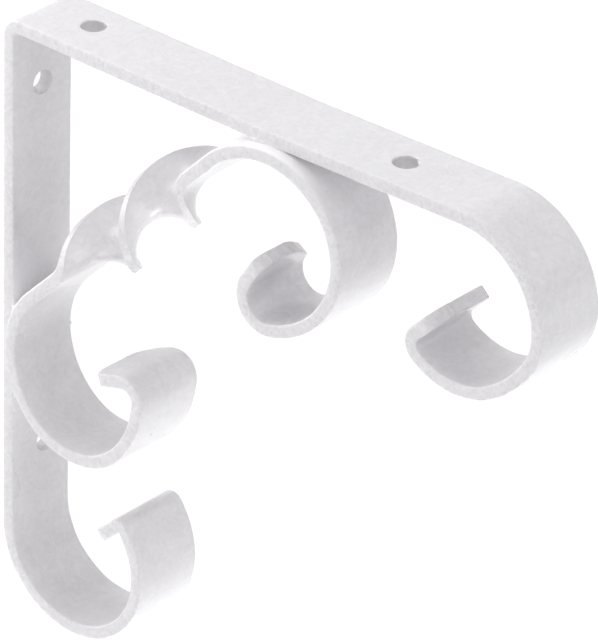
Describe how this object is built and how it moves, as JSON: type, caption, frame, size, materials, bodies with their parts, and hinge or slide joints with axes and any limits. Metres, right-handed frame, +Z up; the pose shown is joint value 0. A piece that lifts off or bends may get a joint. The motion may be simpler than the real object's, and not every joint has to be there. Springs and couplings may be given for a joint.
{
  "type": "scroll bracket",
  "caption": "Flat-bar shelf bracket: an L with hooked scroll ends and screw holes, braced across the corner by a twisted bar with a scroll at each end.",
  "frame": {"origin": "on the wall face of the leg, at mid width, halfway between the leg's two screw holes", "axes": "+X out from the wall along the arm, +Y along the wall across the bar's width, +Z up"},
  "size_m": [0.1684, 0.0236, 0.1658],
  "materials": {
    "white_paint": "thick white satin paint, slightly lumpy, over steel strip"
  },
  "bodies": {
    "root": {"frame_bar": "white_paint", "twisted_brace": "white_paint"}
  },
  "joints": []
}
